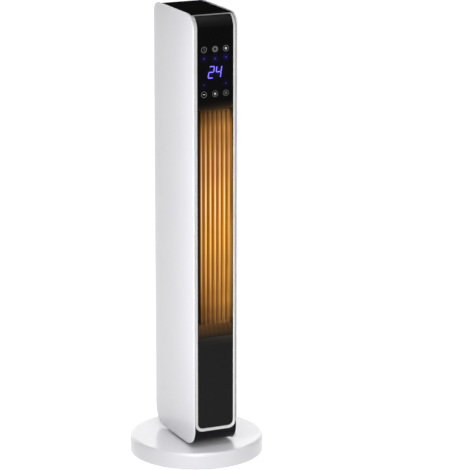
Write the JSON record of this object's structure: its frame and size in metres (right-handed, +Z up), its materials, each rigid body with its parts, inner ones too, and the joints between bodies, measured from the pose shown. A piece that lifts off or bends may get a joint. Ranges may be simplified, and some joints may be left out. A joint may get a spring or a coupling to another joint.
{
  "type": "tower heater",
  "caption": "Slim fan heater tower that swings on a round weighted base, with white side panels, a black touch front and an upright slatted outlet.",
  "frame": {"origin": "on the floor under the middle of the round base, which is the axis that the tower turns on", "axes": "+Z up along the turning axis, -Y out of the front, +X to the right of someone who faces the front"},
  "size_m": [0.24, 0.24, 0.813],
  "materials": {
    "white_gloss": "gloss",
    "black_gloss": "high gloss",
    "black_plastic": "fine grain",
    "silver_paint": "satin silver paint",
    "gold_slats": "satin gold paint",
    "display_lens": "tinted lens",
    "grey_plastic": "moulded",
    "natural_plastic": "moulded",
    "heater_ceramic": "heat-proof moulding",
    "circuit_board": "varnished board",
    "steel": "plated",
    "aluminium": "bare",
    "iron": "rough cast",
    "rubber": "matt"
  },
  "bodies": {
    "base": {"base_cover": "white_gloss", "base_plate": "black_plastic", "base_weight": "iron", "rubber_foot_1": "rubber", "rubber_foot_2": "rubber", "rubber_foot_3": "rubber", "rubber_foot_4": "rubber", "rubber_foot_5": "rubber", "base_screw_1": "steel", "base_screw_2": "steel", "base_screw_3": "steel", "base_screw_4": "steel", "cord_gland": "rubber", "swing_gear": "natural_plastic", "gear_screw_1": "steel", "gear_screw_2": "steel", "gear_screw_3": "steel", "thrust_washer": "natural_plastic"},
    "tower": {"pivot_bush": "natural_plastic", "swing_plate": "steel", "swing_motor": "steel", "side_panel_left": "white_gloss", "side_panel_right": "white_gloss", "front_trim": "silver_paint", "front_panel": "black_gloss", "chin_cover": "black_gloss", "top_panel": "black_gloss", "front_housing": "black_plastic", "rear_cover": "black_plastic", "rear_screw_1": "steel", "rear_screw_2": "steel", "rear_screw_3": "steel", "rear_screw_4": "steel", "outlet_surround": "black_gloss", "outlet_louvre": "gold_slats", "heater_frame": "heater_ceramic", "heater_element_left": "aluminium", "heater_element_right": "aluminium", "thermal_cutout": "steel", "lower_bulkhead": "grey_plastic", "upper_bulkhead": "grey_plastic", "upper_bearing": "natural_plastic", "fan_motor": "steel", "scroll_wall": "grey_plastic", "scroll_tongue": "grey_plastic", "intake_filter": "black_plastic", "control_board": "circuit_board", "display_module": "display_lens", "power_board": "circuit_board", "tilt_switch": "grey_plastic", "switch_housing": "black_plastic"},
    "rotor": {"fan_rotor": "black_plastic", "fan_shaft": "steel"},
    "pinion": {"swing_pinion": "natural_plastic"},
    "rocker": {"main_switch": "black_gloss"}
  },
  "joints": [
    {"name": "swing", "type": "hinge", "parent": "base", "child": "tower", "pos_m": [0, 0, 0.04], "axis": [0, 0, 1], "range_deg": [-35, 35]},
    {"name": "fan_spin", "type": "hinge", "parent": "tower", "child": "rotor", "pos_m": [0, 0.018, 0.44], "axis": [0, 0, 1], "continuous": true},
    {"name": "pinion_spin", "type": "hinge", "parent": "tower", "child": "pinion", "pos_m": [0, -0.035, 0.05], "axis": [0, 0, 1], "range_deg": [-87.5, 87.5]},
    {"name": "switch_rock", "type": "hinge", "parent": "tower", "child": "rocker", "pos_m": [0, 0.0827, 0.117], "axis": [1, 0, 0], "range_deg": [-16, 0]}
  ],
  "couplings": [
    {"joint": "pinion_spin", "follows": "swing", "ratio": 2.5}
  ]
}
